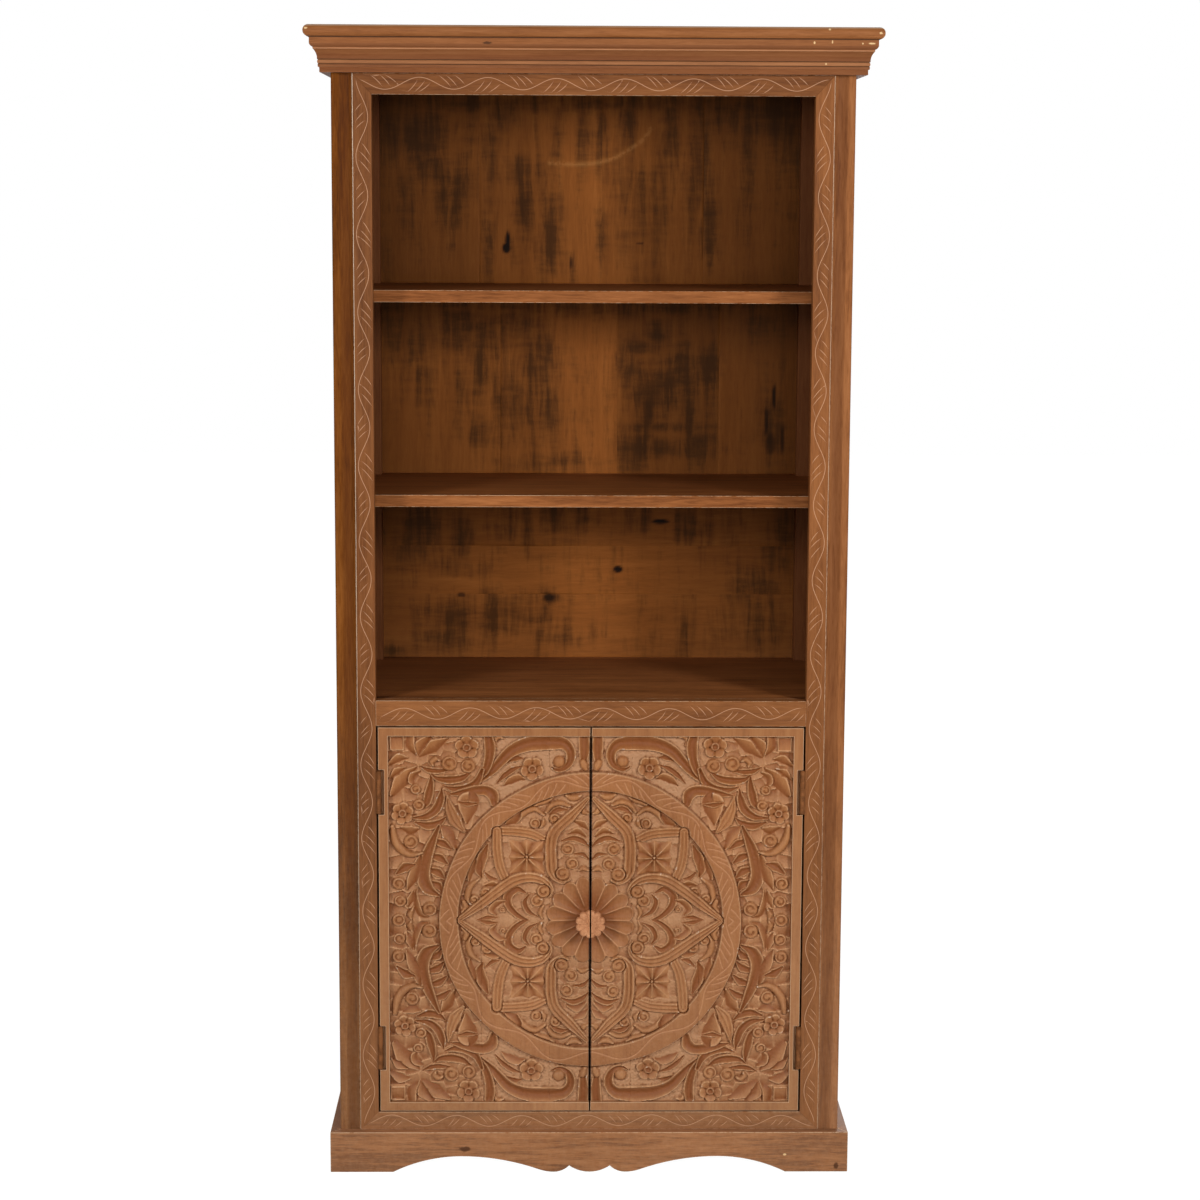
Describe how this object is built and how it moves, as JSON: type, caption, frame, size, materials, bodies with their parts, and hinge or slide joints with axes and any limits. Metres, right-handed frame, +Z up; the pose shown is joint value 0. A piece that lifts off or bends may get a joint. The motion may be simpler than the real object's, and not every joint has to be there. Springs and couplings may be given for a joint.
{
  "type": "carved bookcase",
  "caption": "Free-standing wooden bookcase with open shelves above a cupboard, closed by a pair of hinged carved doors, with a moulded cornice and a scalloped plinth.",
  "frame": {"origin": "on the floor, under the middle of the bounding box", "axes": "+X to the viewer's right, -Y out of the front, +Z up"},
  "size_m": [0.874, 0.46, 1.8],
  "materials": {
    "carved_wood": "carved hardwood with a brown satin lacquer and a pale wash in the hollows",
    "vine_wood": "brown satin lacquer, with pale lines cut through it",
    "case_wood": "brown satin lacquer, rubbed on the edges",
    "inner_wood": "brown satin lacquer",
    "back_wood": "stained boards with drip marks",
    "knob_wood": "turned hardwood with a brown satin lacquer",
    "hinge_metal": "aged brown metal",
    "screw_steel": "dull steel",
    "catch_steel": "plain plated steel"
  },
  "bodies": {
    "carcass": {"back_panel_cupboard": "back_wood", "back_panel_lower": "back_wood", "back_panel_middle": "back_wood", "back_panel_top": "back_wood", "back_rail_bottom": "inner_wood", "back_rail_top": "inner_wood", "catch_magnets": "catch_steel", "cornice_cap": "case_wood", "crown_front": "case_wood", "crown_left": "case_wood", "crown_right": "case_wood", "cupboard_shelf": "inner_wood", "deck_board": "inner_wood", "door_stop": "inner_wood", "floor_board": "inner_wood", "head_rail": "inner_wood", "hinge_lower_left_frame_leaf": "hinge_metal", "hinge_lower_left_pin": "hinge_metal", "hinge_lower_right_frame_leaf": "hinge_metal", "hinge_lower_right_pin": "hinge_metal", "hinge_screws_frame": "screw_steel", "hinge_upper_left_frame_leaf": "hinge_metal", "hinge_upper_left_pin": "hinge_metal", "hinge_upper_right_frame_leaf": "hinge_metal", "hinge_upper_right_pin": "hinge_metal", "plinth_front": "case_wood", "plinth_left": "case_wood", "plinth_right": "case_wood", "post_back_left": "case_wood", "post_back_right": "case_wood", "post_front_left": "case_wood", "post_front_right": "case_wood", "shelf_middle": "inner_wood", "shelf_upper": "inner_wood", "side_board_left": "case_wood", "side_board_right": "case_wood", "side_rail_bottom_left": "case_wood", "side_rail_bottom_right": "case_wood", "side_rail_top_left": "case_wood", "side_rail_top_right": "case_wood", "top_panel": "inner_wood", "vine_bottom_rail": "vine_wood", "vine_middle_rail": "vine_wood", "vine_stile_left": "vine_wood", "vine_stile_right": "vine_wood", "vine_top_rail": "vine_wood"},
    "left_door": {"door_left": "carved_wood", "hinge_lower_left_door_leaf": "hinge_metal", "hinge_screws_door_left": "screw_steel", "hinge_upper_left_door_leaf": "hinge_metal", "knob_left": "knob_wood", "strike_plate_left": "catch_steel"},
    "right_door": {"door_right": "carved_wood", "hinge_lower_right_door_leaf": "hinge_metal", "hinge_screws_door_right": "screw_steel", "hinge_upper_right_door_leaf": "hinge_metal", "knob_right": "knob_wood", "strike_plate_right": "catch_steel"}
  },
  "joints": [
    {"name": "left_door_swing", "type": "hinge", "parent": "carcass", "child": "left_door", "pos_m": [-0.3335, -0.193, 0.40925], "axis": [0, 0, -1], "range_deg": [0, 165]},
    {"name": "right_door_swing", "type": "hinge", "parent": "carcass", "child": "right_door", "pos_m": [0.3335, -0.193, 0.40925], "axis": [0, 0, 1], "range_deg": [0, 165]}
  ]
}
